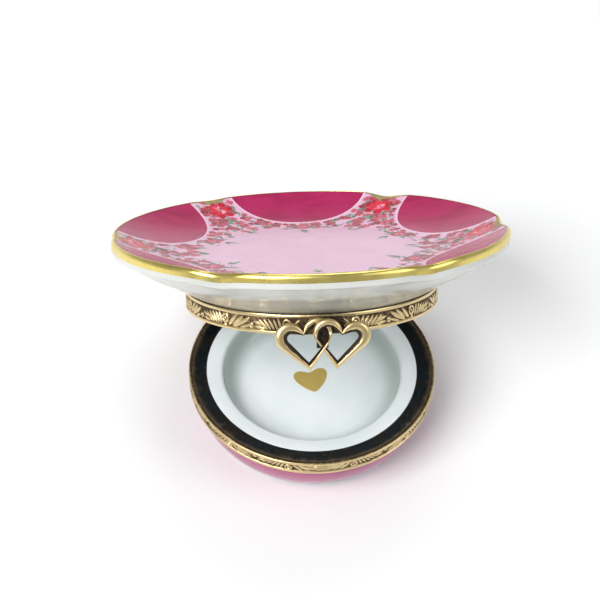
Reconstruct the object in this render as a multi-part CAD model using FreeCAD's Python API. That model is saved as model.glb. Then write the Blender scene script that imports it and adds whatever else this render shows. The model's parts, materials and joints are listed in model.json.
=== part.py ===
import FreeCAD, Part
import math
import os

# A hinged porcelain trinket box: a small round bowl and a six-lobed dish that is its lid, each held in an
# embossed brass mount. Millimetres, +Z up, -Y towards the clasp, +Y towards the hinge. The origin is the
# centre of the bowl's foot, on the surface that it stands on. Heights below are measured from the closing
# plane, where the two mounts meet, and every piece is lifted by closing_height when it is written.

# ---- driving dimensions ----
closing_height = 10.6        # foot to closing plane
open_angle = 32.9            # the lid is stored open by this many degrees
closing_gap = 0.10           # between the two mounts when the box is shut

mount_r = 20.8               # outside of both embossed bands
band_wall = 0.6
relief_depth = 0.25          # the embossed ground lies this far below the plain borders
border_height = 0.5
border_chamfer = 0.1
meeting_edge_round = 0.2     # outer edge of each band at the closing plane
base_band_height = 2.5
lid_band_height = 3.2
collar_inner_r = 17.8
collar_fall = 0.30           # the collar slopes down to the bowl by this much
collar_thickness = 0.45
collar_edge_round = 0.15
lid_collar_set_back = 0.05   # the lid's collar lies this far inside its band
cement_wall = 0.2

bowl_r = 20.1                # porcelain just below the base band
bowl_curve_depth = 14.5      # vertical semi-axis of the bowl's elliptical outside
bowl_body_bottom = -10.0
foot_r = 15.3
foot_ring_width = 2.1
foot_fillet_r = 0.25
foot_recess = 2.2
foot_recess_wall = 0.4
ledge_inner_r = 15.0
ledge_outer_z = -0.38
ledge_inner_z = -0.80
ledge_edge_round = 0.1
floor_r = 11.2
floor_z = -5.0

lobes = 6
dish_r = 32.6                # dish radius at the middle of a lobe
cusp_inset = 0.7             # the dish is this much smaller where two lobes meet
rim_z = 12.4                 # rim height at the middle of a lobe
cusp_dip = 0.50              # the rim is this much lower where two lobes meet
cusp_sharpness = 12
soft_side = math.radians(150)    # the dips on this side of the dish were pressed less deeply
soft_side_loss = 0.85
dish_floor_z = 8.7
dish_floor_r = 18.4
dish_power = 1.74            # how the dish curves up from its floor to its rim
lip = 0.5                    # radial width of the rounded lip
rim_height = 2.4             # height of the rim's outer face, from its crest to the underside
underside_swell = 0.25
neck_r = 19.95
underside_r = 20.3           # where the underside meets the neck
cavity_mouth_r = 16.6
cavity_ceiling_r = 12.0
cavity_ceiling_z = 6.2
cavity_shoulder = 1.2

hinge_y = 22.18
hinge_z = -0.54
barrel_r = 1.2
barrel_chamfer = 0.12
pin_r = 0.45
pin_head_r = 0.70
pin_head_length = 0.3
pin_head_round = 0.18
running_clearance = 0.05
knuckle_length = 2.7
knuckle_gap = 0.08
leaf_thickness = 0.5
leaf_half_width = 7.0
tab_root = 2.0               # the tabs start this far inside the bands' outside, and are trimmed to it
base_leaf_z = (-2.5, -1.9)
base_tab_z = (-2.5, -0.34)
lid_leaf_z = (0.9, 2.9)
lid_tab_z = (0.16, 2.0)

heart_offset = 2.65          # centre of each heart from the middle
heart_centre_z = -1.05
heart_tilt = 9.0             # the tips lean together by this many degrees
heart_top = 3.85             # heights on a heart are from its own centre
heart_tip = -4.15
lobe_r = 2.25                # outer outline of a heart's lobes
lobe_x = 2.2
notch_drop = 0.65            # from the outer notch to the inner one
tip_drop = 1.35              # from the outer tip to the inner one
wide_opening = (1.86, 1.35, 0.74)     # centre and radius of the opening's corner in the outer lobe
narrow_opening = (2.0, 1.05, 1.50)    # and in the lobe that passes the other heart
heart_thickness = 0.8
heart_section_swell = 0.56   # control points of the section lie this share of its size from its middle
heart_weave = 0.47           # how far a heart steps forwards or back where it passes the other
backplate_front = 21.35
backplate_half_width = 3.4
backplate_z = (0.35, 2.75)
backplate_corner = 0.5
heart_stand_off = 0.05       # the hearts clear the backplate and the tongue, and hang on the studs
stud_r = 0.4
stud_x = 2.88
stud_z = 0.85
stud_root = 0.2
left_stud_reach = 0.45       # from the backplate into the back of each heart
right_stud_reach = 1.0
tongue_half_width = 0.9
tongue_bottom = -1.9
bead_top = 0.75              # the bead's slopes and crest, measured from the tongue's end
bead_crest = (0.3, 0.5)
catch_r = 20.98
catch_half_width = 1.6
catch_z = (-1.75, -0.75)
catch_crest_z = (-1.35, -1.15)
catch_backing = 0.1          # the solder under the ridge reaches this far past it
bead_clearance = 0.10        # between the bead and the catch ridge
tongue_clearance = 0.22      # between the rest of the tongue and the ridge

ring_poles = 144             # control points round the lobed dish
V = FreeCAD.Vector


# ---- helpers ----
def outline(start, *steps):
    """A closed profile in the XZ plane. A step is the end of a line, (middle, end) of an arc, or a list of
    points on a smooth curve. The last point joins back to the start with a line."""
    def at(p):
        return V(p[0], 0, p[1])

    edges = []
    here = start
    for step in list(steps) + [start]:
        if isinstance(step, list):
            curve = Part.BSplineCurve()
            curve.interpolate([at(here)] + [at(p) for p in step])
            edges.append(curve.toShape())
            here = step[-1]
        elif isinstance(step[0], tuple):
            edges.append(Part.Arc(at(here), at(step[0]), at(step[1])).toShape())
            here = step[1]
        elif math.dist(here, step) > 1e-9:
            edges.append(Part.LineSegment(at(here), at(step)).toShape())
            here = step
    return Part.Face(Part.Wire(edges))


def turned(start, *steps):
    """A solid of revolution about Z."""
    return outline(start, *steps).revolve(V(0, 0, 0), V(0, 0, 1), 360)


def box(x0, x1, y0, y1, z0, z1):
    return Part.makeBox(x1 - x0, y1 - y0, z1 - z0, V(x0, y0, z0))


def upright_cylinder(r, z0, z1):
    return Part.makeCylinder(r, z1 - z0, V(0, 0, z0))


def rod(r, x0, x1):
    """A cylinder on the hinge axis."""
    return Part.makeCylinder(r, x1 - x0, V(x0, hinge_y, hinge_z), V(1, 0, 0))


def solid_of(faces):
    shell = Part.Shell(faces)
    shell.sewShape()
    solid = Part.Solid(shell)
    if solid.Volume < 0:
        solid.reverse()
    return solid


# ---- the bowl and its mount ----
def bowl_outside_r(z):
    fall = (-z - base_band_height) / bowl_curve_depth
    return bowl_r * math.sqrt(1 - fall * fall)


def make_bowl():
    shelf_z = -collar_fall - closing_gap / 2 - collar_thickness
    rim_r = mount_r - band_wall - cement_wall
    body_r = bowl_outside_r(bowl_body_bottom)
    recess_r = foot_r - foot_ring_width
    recess_top = -closing_height + foot_recess
    bend = math.sqrt(0.5)
    wall_r = ledge_inner_r - floor_r
    wall_h = ledge_inner_z - floor_z
    steps = 8
    outside = []
    for i in range(1, steps + 1):
        z = -base_band_height + (bowl_body_bottom + base_band_height) * i / steps
        outside.append((bowl_outside_r(z), z))
    wall = []
    for i in range(1, steps + 1):
        a = math.pi / 2 * i / steps
        wall.append((floor_r + wall_r * math.sin(a), floor_z + wall_h * (1 - math.cos(a))))
    fillet = foot_fillet_r
    fillet_middle = (foot_r + fillet * (1 - bend), bowl_body_bottom - fillet * (1 - bend))
    recess_middle = (recess_r * 0.62, recess_top - foot_recess * 0.22)
    ledge_soft = ledge_edge_round * (1 - bend)
    return turned(
        (0, recess_top),
        (recess_middle, (recess_r, -closing_height + foot_recess_wall)),
        (recess_r, -closing_height),
        (foot_r, -closing_height),
        (foot_r, bowl_body_bottom - fillet),
        (fillet_middle, (foot_r + fillet, bowl_body_bottom)),
        (body_r, bowl_body_bottom),
        outside[-2::-1] + [(bowl_r, -base_band_height)],
        (rim_r, -base_band_height),
        (rim_r, shelf_z),
        (collar_inner_r, shelf_z),
        (collar_inner_r, ledge_outer_z - ledge_edge_round),
        (
            (collar_inner_r - ledge_soft, ledge_outer_z - ledge_soft),
            (collar_inner_r - ledge_edge_round, ledge_outer_z),
        ),
        (ledge_inner_r, ledge_inner_z),
        wall[-2::-1] + [(floor_r, floor_z)],
        (0, floor_z),
    )


def make_cement(z0, z1):
    """The ring of cement between a porcelain rim and its band."""
    outer = mount_r - band_wall
    return turned((outer - cement_wall, z0), (outer, z0), (outer, z1), (outer - cement_wall, z1))


def make_band(z_meeting, z_far):
    """An embossed strip bent into a ring: plain borders, a sunk ground, and a rounded meeting edge."""
    side = 1 if z_far > z_meeting else -1
    inner = mount_r - band_wall
    ground = mount_r - relief_depth
    border = side * border_height
    chamfer = side * border_chamfer
    edge = meeting_edge_round
    soft = edge * (1 - math.sqrt(0.5))
    return turned(
        (inner, z_meeting),
        (mount_r - edge, z_meeting),
        ((mount_r - soft, z_meeting + side * soft), (mount_r, z_meeting + side * edge)),
        (mount_r, z_meeting + border),
        (ground, z_meeting + border + chamfer),
        (ground, z_far - border - chamfer),
        (mount_r, z_far - border),
        (mount_r, z_far),
        (inner, z_far),
    )


def make_base_collar():
    top = -closing_gap / 2
    bottom = top - collar_fall - collar_thickness
    outer = mount_r - band_wall
    low = top - collar_fall
    edge = collar_edge_round
    soft = edge * (1 - math.sqrt(0.5))
    return turned(
        (outer, top - meeting_edge_round / 4),
        (collar_inner_r + edge, low),
        ((collar_inner_r + soft, low - soft), (collar_inner_r, low - edge)),
        (collar_inner_r, bottom),
        (outer, bottom),
    )


def make_lid_collar():
    bottom = closing_gap / 2 + lid_collar_set_back
    outer = mount_r - band_wall
    edge = collar_edge_round
    soft = edge * (1 - math.sqrt(0.5))
    return turned(
        (outer, bottom),
        (outer, bottom + collar_thickness),
        (collar_inner_r, bottom + collar_thickness),
        (collar_inner_r, bottom + edge),
        ((collar_inner_r + soft, bottom + soft), (collar_inner_r + edge, bottom)),
    )


# ---- the dish-shaped lid ----
def cusp(angle):
    """1 at a full dip between two lobes, less on the soft side, and 0 at the middle of a lobe."""
    even = ((1 + math.cos(lobes * angle)) / 2) ** cusp_sharpness
    return even * (1 - soft_side_loss * max(0, math.cos(angle - soft_side)) ** 2)


def row(r_at, z_at):
    """Control points of one ring of the dish. A closed cubic cuts inside its control points, and the
    factor makes up for it."""
    spread = 3 / (2 + math.cos(2 * math.pi / ring_poles))
    points = []
    for i in range(ring_poles):
        a = 2 * math.pi * i / ring_poles
        c = cusp(a)
        r = r_at(c) * spread
        points.append(V(r * math.cos(a), r * math.sin(a), z_at(c)))
    return points


def rim_row(inset, drop):
    """A ring on the lobed rim, inset from its outer face and drop below its crest."""
    return row(lambda c: dish_r - cusp_inset * c - inset, lambda c: rim_z - cusp_dip * c - drop)


def dish_row(t):
    """A ring of the dish's upper face: t is 0 at the floor's edge and 1 at the crest of the lip."""
    def r_at(c):
        return dish_floor_r + (dish_r - cusp_inset * c - lip - dish_floor_r) * t

    def z_at(c):
        return dish_floor_z + (rim_z - cusp_dip * c - dish_floor_z) * t ** dish_power

    return row(r_at, z_at)


def underside_row(t):
    """A ring of the underside: t is 0 at the rim and 1 at the neck. A faint swell runs round it."""
    swell = underside_swell * math.sin(math.pi * min(1.0, t * 1.6)) ** 2

    def r_at(c):
        start = dish_r - cusp_inset * c - lip
        return start + (underside_r - start) * t

    def z_at(c):
        start = rim_z - cusp_dip * c - rim_height
        return start + (lid_band_height - start) * t - swell

    return row(r_at, z_at)


def ring_face(rows):
    """A smooth face through rings of control points, closed round the dish."""
    across = len(rows)
    surface = Part.BSplineSurface()
    surface.buildFromPolesMultsKnots(
        rows,
        [4] + [1] * (across - 4) + [4],
        [1] * (ring_poles + 1),
        list(range(across - 2)),
        list(range(ring_poles + 1)),
        False,
        True,
        3,
        3,
    )
    return surface.toShape()


def ring_edge(points):
    curve = Part.BSplineCurve()
    curve.buildFromPolesMultsKnots(points, [1] * (ring_poles + 1), list(range(ring_poles + 1)), True, 3)
    return curve.toShape()


# the lip's section, from its crest to the underside: inset as a share of the lip, drop below the crest
lip_section = [
    (1.00, 0.0), (0.72, -0.02), (0.30, 0.02), (0.04, 0.28), (0.0, 0.75),
    (0.0, 1.36), (0.0, 1.75), (0.25, 2.10), (0.60, 2.30), (1.00, rim_height),
]


def make_plate():
    steps = 9
    dish = [dish_row(i / steps) for i in range(steps + 1)]
    lip_rows = [rim_row(lip * inset, drop) for inset, drop in lip_section]
    under = [underside_row(i / steps) for i in range(steps + 1)]
    floor = Part.Face(Part.Wire([ring_edge(dish[0])]))
    root = Part.Face(Part.Wire([ring_edge(under[-1])]))
    body = solid_of([floor, ring_face(dish), ring_face(lip_rows), ring_face(under), root])
    seat_z = closing_gap / 2 + lid_collar_set_back + collar_thickness
    neck = turned((0, lid_band_height + 1), (neck_r, lid_band_height + 1), (neck_r, seat_z), (0, seat_z))
    shoulder = cavity_shoulder
    bend = shoulder * (1 - math.sqrt(0.5))
    cavity = turned(
        (0, seat_z - 1),
        (cavity_mouth_r, seat_z - 1),
        (cavity_mouth_r, seat_z),
        (cavity_ceiling_r + shoulder, cavity_ceiling_z - shoulder),
        ((cavity_ceiling_r + shoulder - bend, cavity_ceiling_z - bend), (cavity_ceiling_r, cavity_ceiling_z)),
        (0, cavity_ceiling_z),
    )
    return body.fuse(neck).cut(cavity).removeSplitter()


# ---- the hinge ----
def knuckle_span(index):
    """The start and end along X of one of the five hinge tubes, counted from the left."""
    pitch = knuckle_length + knuckle_gap
    start = (index - 2) * pitch - knuckle_length / 2
    return start, start + knuckle_length


def make_knuckle(index, bore):
    x0, x1 = knuckle_span(index)
    tube = rod(barrel_r, x0, x1)
    tube = tube.makeChamfer(barrel_chamfer, [e for e in tube.Edges if e.Curve.TypeId == "Part::GeomCircle"])
    return tube.cut(rod(bore, x0 - 1, x1 + 1))


def make_pin():
    x0 = knuckle_span(0)[0]
    x1 = knuckle_span(4)[1]
    head = pin_head_length
    wire = rod(pin_r, x0 - head, x1 + head)
    left = rod(pin_head_r, x0 - head, x0)
    right = rod(pin_head_r, x1, x1 + head)
    left = left.makeFillet(pin_head_round, [e for e in left.Edges if e.BoundBox.XMax < x0 - head / 2])
    right = right.makeFillet(pin_head_round, [e for e in right.Edges if e.BoundBox.XMin > x1 + head / 2])
    return wire.fuse([left, right]).removeSplitter()


def curved_strip(half_width, z0, z1):
    """A strip of leaf metal lying on the outside of a band, at the back."""
    strip = upright_cylinder(mount_r + leaf_thickness, z0, z1)
    strip = strip.common(box(-half_width, half_width, 0, 2 * mount_r, z0, z1))
    return strip.cut(upright_cylinder(mount_r, z0 - 1, z1 + 1))


def make_leaf(tab_indices, strip_z, tab_z):
    """A leaf: a curved strip on the band and a tab up to each of its hinge tubes."""
    leaf = curved_strip(leaf_half_width, *strip_z)
    tabs = []
    for index in tab_indices:
        x0, x1 = knuckle_span(index)
        tabs.append(box(x0, x1, mount_r - tab_root, hinge_y, *tab_z))
    leaf = leaf.fuse(tabs)
    leaf = leaf.cut(upright_cylinder(mount_r, -2 * base_band_height, 2 * lid_band_height))
    return leaf.cut(rod(barrel_r, -mount_r, mount_r)).removeSplitter()


# ---- the clasp ----
def touching_angle(height, centre, r, side):
    """Where a straight line from (0, height) touches a circle."""
    dx = -centre[0]
    dz = height - centre[1]
    return math.atan2(dz, dx) + side * math.acos(min(1.0, r / math.hypot(dx, dz)))


def half_heart(centre, r, notch, tip, steps):
    """Points from a heart's notch, over its lobe and straight down to its tip, evenly spaced."""
    first = touching_angle(notch, centre, r, -1)
    last = touching_angle(tip, centre, r, 1)
    while first < last:
        first += 2 * math.pi
    begin = (centre[0] + r * math.cos(first), centre[1] + r * math.sin(first))
    end = (centre[0] + r * math.cos(last), centre[1] + r * math.sin(last))
    rise = math.dist((0, notch), begin)
    bend = (first - last) * r
    fall = math.dist(end, (0, tip))
    points = []
    for i in range(steps + 1):
        s = (rise + bend + fall) * i / steps
        if s < rise:
            k = s / rise
            points.append((begin[0] * k, notch + (begin[1] - notch) * k))
        elif s < rise + bend:
            a = first - (s - rise) / r
            points.append((centre[0] + r * math.cos(a), centre[1] + r * math.sin(a)))
        else:
            k = (s - rise - bend) / fall
            points.append((end[0] * (1 - k), end[1] + (tip - end[1]) * k))
    return points


def ramp(stations, f):
    """A smooth run through (place, value) pairs."""
    for (f0, v0), (f1, v1) in zip(stations, stations[1:]):
        if f <= f1:
            k = (f - f0) / (f1 - f0)
            return v0 + (v1 - v0) * k * k * (3 - 2 * k)
    return stations[-1][1]


def make_heart(side):
    """side is -1 for the left heart and 1 for the right one. Its crossing half faces the other heart: there
    it passes behind at the top and in front lower down (the right heart the other way about)."""
    steps = 36
    around = 8
    lobe = (lobe_x, heart_top - lobe_r)
    notch = lobe[1] + math.sqrt(lobe_r ** 2 - lobe_x ** 2)
    outer = half_heart(lobe, lobe_r, notch, heart_tip, steps)
    openings = []
    for x, z, r in (narrow_opening, wide_opening):
        openings.append(half_heart((x, z), r, notch - notch_drop, heart_tip + tip_drop, steps))
    crossing = [(0, -0.6), (0.15, -1), (0.47, -1), (0.62, 1), (0.80, 1), (1, 0.5)]
    clear = [(0, -0.6), (0.5, 0), (1, 0.5)]
    stations = []
    for i in range(steps):
        stations.append((i, openings[0], -side, ramp(crossing, i / steps)))
    for i in range(steps, 0, -1):
        stations.append((i, openings[1], side, ramp(clear, i / steps)))
    lean = math.radians(-side * heart_tilt)
    half_width = heart_section_swell
    half_thickness = heart_section_swell * heart_thickness
    middle_y = -(backplate_front + heart_stand_off + half_thickness + heart_weave)
    rows = []
    for i, opening, way, weave in stations:
        ring = []
        for k in range(around):
            a = 2 * math.pi * k / around
            across = 0.5 + half_width * math.cos(a)
            x = way * (outer[i][0] * across + opening[i][0] * (1 - across))
            z = outer[i][1] * across + opening[i][1] * (1 - across)
            y = middle_y + side * weave * heart_weave - half_thickness * math.sin(a)
            turned_x = x * math.cos(lean) - z * math.sin(lean)
            turned_z = x * math.sin(lean) + z * math.cos(lean)
            ring.append(V(side * heart_offset + turned_x, y, heart_centre_z + turned_z))
        rows.append(ring)
    along = len(rows)
    surface = Part.BSplineSurface()
    surface.buildFromPolesMultsKnots(
        rows,
        [1] * (along + 1),
        [1] * (around + 1),
        list(range(along + 1)),
        list(range(around + 1)),
        True,
        True,
        3,
        3,
    )
    return Part.Solid(Part.Shell([surface.toShape()]))


def make_backplate():
    """The plate behind the hearts, with a stud soldered to the back of each heart beside its notch."""
    plate = box(-backplate_half_width, backplate_half_width, -backplate_front, 1 - mount_r, *backplate_z)
    corners = [e for e in plate.Edges if abs(e.tangentAt(e.FirstParameter).y) > 0.9]
    plate = plate.makeFillet(backplate_corner, corners)
    studs = []
    for x, reach in ((-stud_x, left_stud_reach), (stud_x, right_stud_reach)):
        root = V(x, stud_root - backplate_front, stud_z)
        studs.append(Part.makeCylinder(stud_r, reach + stud_root, root, V(0, -1, 0)))
    return plate.fuse(studs).cut(upright_cylinder(mount_r, -1, 4)).removeSplitter()


def make_tongue():
    """The spring tongue: it hangs from the backplate with its bead just outside the catch ridge."""
    front = -backplate_front
    back = -(catch_r + tongue_clearance)
    bead = -(catch_r + bead_clearance)
    top = backplate_z[0]
    profile = Part.makePolygon([
        V(0, front, top),
        V(0, back, top),
        V(0, back, tongue_bottom + bead_top),
        V(0, bead, tongue_bottom + bead_crest[1]),
        V(0, bead, tongue_bottom + bead_crest[0]),
        V(0, back, tongue_bottom),
        V(0, front, tongue_bottom),
        V(0, front, top),
    ])
    tongue = Part.Face(profile).extrude(V(2 * tongue_half_width, 0, 0))
    return tongue.translated(V(-tongue_half_width, 0, 0))


def make_catch_ridge():
    """The ridge on the base band that the tongue's bead snaps under, on a pad that fills the relief."""
    ground = mount_r - relief_depth
    low = catch_z[0] - catch_backing
    high = catch_z[1] + catch_backing
    front = box(-catch_half_width, catch_half_width, -2 * mount_r, 0, low, high)
    ridge = turned(
        (ground, low),
        (mount_r, low),
        (mount_r, catch_z[0]),
        (catch_r, catch_crest_z[0]),
        (catch_r, catch_crest_z[1]),
        (mount_r, catch_z[1]),
        (mount_r, high),
        (ground, high),
    )
    return ridge.common(front)


# ---- assembly ----
def main():
    half_gap = closing_gap / 2
    shelf_z = -collar_fall - half_gap - collar_thickness
    seat_z = half_gap + lid_collar_set_back + collar_thickness
    base = {
        "bowl": make_bowl(),
        "bowl_cement": make_cement(-base_band_height, shelf_z),
        "base_band": make_band(-half_gap, -base_band_height),
        "base_collar": make_base_collar(),
        "base_hinge_leaf": make_leaf((0, 2, 4), base_leaf_z, base_tab_z),
        "base_knuckle_left": make_knuckle(0, pin_r),
        "base_knuckle_centre": make_knuckle(2, pin_r),
        "base_knuckle_right": make_knuckle(4, pin_r),
        "hinge_pin": make_pin(),
        "catch_ridge": make_catch_ridge(),
    }
    lid = {
        "plate": make_plate(),
        "lid_cement": make_cement(seat_z, lid_band_height),
        "lid_band": make_band(half_gap, lid_band_height),
        "lid_collar": make_lid_collar(),
        "lid_hinge_leaf": make_leaf((1, 3), lid_leaf_z, lid_tab_z),
        "lid_knuckle_left": make_knuckle(1, pin_r + running_clearance),
        "lid_knuckle_right": make_knuckle(3, pin_r + running_clearance),
        "clasp_backplate": make_backplate(),
        "clasp_tongue": make_tongue(),
        "clasp_left_heart": make_heart(-1),
        "clasp_right_heart": make_heart(1),
    }
    os.makedirs("parts", exist_ok=True)
    for name, shape in lid.items():
        shape.rotate(V(0, hinge_y, hinge_z), V(-1, 0, 0), open_angle)
    for name, shape in {**base, **lid}.items():
        shape.translate(V(0, 0, closing_height))
        print(name, shape.isValid(), len(shape.Solids), round(shape.Volume, 2))
        shape.exportStep("parts/" + name + ".step")


main()
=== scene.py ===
import json
from math import acos, atan2, cos, dist, hypot, pi, radians, sin, sqrt
import random

import bpy
import numpy as np
from mathutils import Matrix, Vector


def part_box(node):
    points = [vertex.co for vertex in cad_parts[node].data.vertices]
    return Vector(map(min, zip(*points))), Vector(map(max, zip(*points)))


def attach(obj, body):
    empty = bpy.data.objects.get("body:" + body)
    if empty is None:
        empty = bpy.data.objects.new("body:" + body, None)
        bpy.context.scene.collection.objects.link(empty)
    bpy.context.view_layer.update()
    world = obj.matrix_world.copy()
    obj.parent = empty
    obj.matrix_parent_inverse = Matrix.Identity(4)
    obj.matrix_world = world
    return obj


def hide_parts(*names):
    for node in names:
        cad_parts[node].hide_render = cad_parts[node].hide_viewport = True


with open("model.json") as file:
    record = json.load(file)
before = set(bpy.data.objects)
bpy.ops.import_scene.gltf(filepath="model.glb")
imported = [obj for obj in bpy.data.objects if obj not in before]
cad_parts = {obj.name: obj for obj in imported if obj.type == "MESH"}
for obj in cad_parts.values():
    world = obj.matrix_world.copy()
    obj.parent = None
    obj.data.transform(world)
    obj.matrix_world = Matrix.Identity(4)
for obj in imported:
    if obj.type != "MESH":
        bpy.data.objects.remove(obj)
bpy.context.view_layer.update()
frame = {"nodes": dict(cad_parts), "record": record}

# A hinged porcelain trinket box, seen open. Shapes are worked out in millimetres with the lid shut, heights
# measured from the closing plane, then carried to the frame: on_base lifts a point, and on_lid also opens
# it about the hinge.

MM = 0.001
JOINT = frame["record"]["behaviour"]["joints"][0]
HINGE = np.array(JOINT["pos_m"]) / MM
OPENING = radians(-JOINT["range_deg"][0])
MEETING_GAP = 0.05
CLOSING_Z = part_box("base_band")[1][2] / MM + MEETING_GAP

# the mounts
MOUNT_R = 20.8
BAND_WALL = 0.6
RELIEF = 0.25
BORDER = 0.5
BASE_BAND_H = 2.5
LID_BAND_H = 3.2
COLLAR_IN_R = 17.8
COLLAR_FALL = 0.30
COLLAR_T = 0.45
COLLAR_SET_BACK = 0.05
CEMENT = 0.2
# where the porcelain rests on each collar
SEAT = MEETING_GAP + COLLAR_SET_BACK + COLLAR_T
SHELF = -COLLAR_FALL - MEETING_GAP - COLLAR_T
# the bowl
BOWL_R = 20.1
BOWL_DEPTH = 14.5
BODY_BOTTOM = -10.0
FOOT_R = 15.3
FOOT_W = 2.1
FOOT_RECESS = 2.2
LEDGE_R = 15.0
LEDGE_OUT_Z = -0.38
LEDGE_IN_Z = -0.80
FLOOR_R = 11.2
FLOOR_Z = -5.0
# the dish
LOBES = 6
DISH_R = 32.55
CUSP_INSET = 0.7
RIM_Z = 12.4
CUSP_DIP = 0.50
CUSP_SHARPNESS = 12
SOFT_SIDE = radians(150)
SOFT_SIDE_LOSS = 0.85
DISH_FLOOR_Z = 8.7
DISH_FLOOR_R = 18.4
DISH_POWER = 1.74
LIP = 0.5
LIP_ROUND = 0.7
LIP_LOWER = 1.75
RIM_H = 2.4
RIM_STEPS = 480
NECK_R = 19.95
UNDER_R = 20.3
CAVITY_R = 16.6
CEILING_R = 12.0
CEILING_Z = 6.2
CEILING_ROUND = 1.2
UNDERSIDE_SWELL = 0.25
# the hinge
BARREL_R = 1.2
PIN_R = 0.45
RUNNING = 0.05
KNUCKLE_L = 2.7
KNUCKLE_GAP = 0.08
HINGE_Z = HINGE[2] - CLOSING_Z
# the clasp
HEART_X = 2.65
HEART_Z = -1.05
HEART_TILT = radians(9)
HEART_TOP = 3.85
HEART_TIP = -4.15
HEART_LOBE_R = 2.25
HEART_LOBE_X = 2.2
NOTCH_DROP = 0.65
TIP_DROP = 1.35
WIDE_OPENING = (1.86, 1.35, 0.74)
NARROW_OPENING = (2.0, 1.05, 1.50)
HEART_T = 0.8
HEART_WEAVE = 0.47
HEART_SWELL = 0.56
HEART_STAND_OFF = 0.05
BACKPLATE_Y = 21.35
CATCH_R = 20.98
CATCH_Z = -1.25


# ---- from the shut box to the frame ----
def on_base(p):
    p = np.asarray(p, float)
    return (p + (0, 0, CLOSING_Z)) * MM


def on_lid(p):
    p = np.asarray(p, float) + (0, 0, CLOSING_Z)
    y = p[..., 1] - HINGE[1]
    z = p[..., 2] - HINGE[2]
    c = cos(OPENING)
    s = sin(OPENING)
    return np.stack([p[..., 0], HINGE[1] + y * c + z * s, HINGE[2] - y * s + z * c], -1) * MM


PLACE = {"base": on_base, "lid": on_lid}


# ---- meshes ----
class Build:
    """Vertices, faces, a material for each face and a shade for each vertex, gathered for one piece."""

    def __init__(self):
        self.verts = []
        self.faces = []
        self.mats = []
        self.shades = []
        self.count = 0

    def add(self, verts, faces, mat=0, shade=0.0):
        verts = np.asarray(verts, float).reshape(-1, 3)
        base = self.count
        self.verts.append(verts)
        self.count += len(verts)
        self.faces += [tuple(i + base for i in f) for f in faces]
        self.mats += list(mat) if hasattr(mat, "__len__") else [mat] * len(faces)
        shades = np.broadcast_to(np.asarray(shade, float), (len(verts),))
        self.shades.append(shades)

    def piece(self, name, body, materials, node_slot, replaces=(), sharp=40):
        verts = PLACE[body](np.concatenate(self.verts))
        mesh = bpy.data.meshes.new(name)
        mesh.from_pydata(verts.tolist(), [], self.faces)
        for m in materials:
            mesh.materials.append(m)
        mesh.polygons.foreach_set("material_index", np.array(self.mats, dtype=np.int32))
        layer = mesh.attributes.new("shade", "FLOAT", "POINT")
        layer.data.foreach_set("value", np.concatenate(self.shades).astype(np.float32))
        mesh.validate()
        mesh.shade_smooth()
        mesh.set_sharp_from_angle(angle=radians(sharp))
        mesh.update()
        obj = bpy.data.objects.new(name, mesh)
        bpy.context.scene.collection.objects.link(obj)
        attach(obj, body)
        if replaces:
            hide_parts(*replaces)
        return obj


def full_turn(steps):
    return np.arange(steps) * 2 * pi / steps


def grid_faces(rows, cols, wrap_rows=False, wrap_cols=False):
    faces = []
    for i in range(rows if wrap_rows else rows - 1):
        a = i * cols
        b = (i + 1) % rows * cols
        for j in range(cols if wrap_cols else cols - 1):
            k = (j + 1) % cols
            faces.append((a + j, a + k, b + k, b + j))
    return faces


def closed_grid(rows, cols):
    """The faces of a grid, of its under side, whose points follow the grid's own, and of their border."""
    n = rows * cols
    faces = grid_faces(rows, cols)
    faces += [tuple(n + i for i in reversed(f)) for f in faces]
    edge = list(range(cols))
    edge += [i * cols + cols - 1 for i in range(1, rows)]
    edge += [(rows - 1) * cols + j for j in range(cols - 2, -1, -1)]
    edge += [i * cols for i in range(rows - 2, 0, -1)]
    for a, b in zip(edge, edge[1:] + edge[:1]):
        faces.append((b, a, n + a, n + b))
    return faces


def ring_grid(build, r, z, angles, row_mats, closed=False, shade=0.0):
    """Rings about Z: r and z are (rows, angles) arrays, and row_mats is a material for each ring, or one."""
    verts = np.stack([r * np.cos(angles), r * np.sin(angles), z], -1)
    rows, cols = r.shape
    faces = grid_faces(rows, cols, closed, True)
    row_mats = [row_mats] * rows if isinstance(row_mats, int) else row_mats
    mats = np.repeat(row_mats, cols)[:len(faces)]
    build.add(verts, faces, mats.tolist(), np.broadcast_to(shade, (rows, cols)).ravel())


def cap(build, r, z, angles, mat, up):
    """A flat disc inside a ring, as a fan."""
    n = len(angles)
    ring = np.stack([r * np.cos(angles), r * np.sin(angles), np.broadcast_to(z, n)], -1)
    verts = np.vstack([ring, [[0, 0, float(np.mean(z))]]])
    faces = []
    for j in range(n):
        k = (j + 1) % n
        faces.append((j, k, n) if up else (k, j, n))
    build.add(verts, faces, mat)


def columns(rows, segments):
    """Turns rows of numbers, one row for each ring, into one (rows, segments) array for each column."""
    return [np.repeat(np.array(column)[:, None], segments, 1) for column in zip(*rows)]


def lathe(build, profile, segments, mats, closed=True, shades=0.0):
    """A profile of (r, z) turned about Z. mats and shades give one number for each point, or one for all."""
    angles = full_turn(segments)
    r, z = columns(profile, segments)
    shade = np.asarray(shades, float)
    if shade.ndim == 1:
        shade = shade[:, None]
    ring_grid(build, r, z, angles, mats, closed, np.broadcast_to(shade, r.shape))


def arc(cx, cz, rx, rz, a0, a1, n):
    """Points on an ellipse's arc, angles in degrees from the outward direction."""
    points = []
    for i in range(n + 1):
        a = radians(a0 + (a1 - a0) * i / n)
        points.append((cx + rx * cos(a), cz + rz * sin(a)))
    return points


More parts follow.
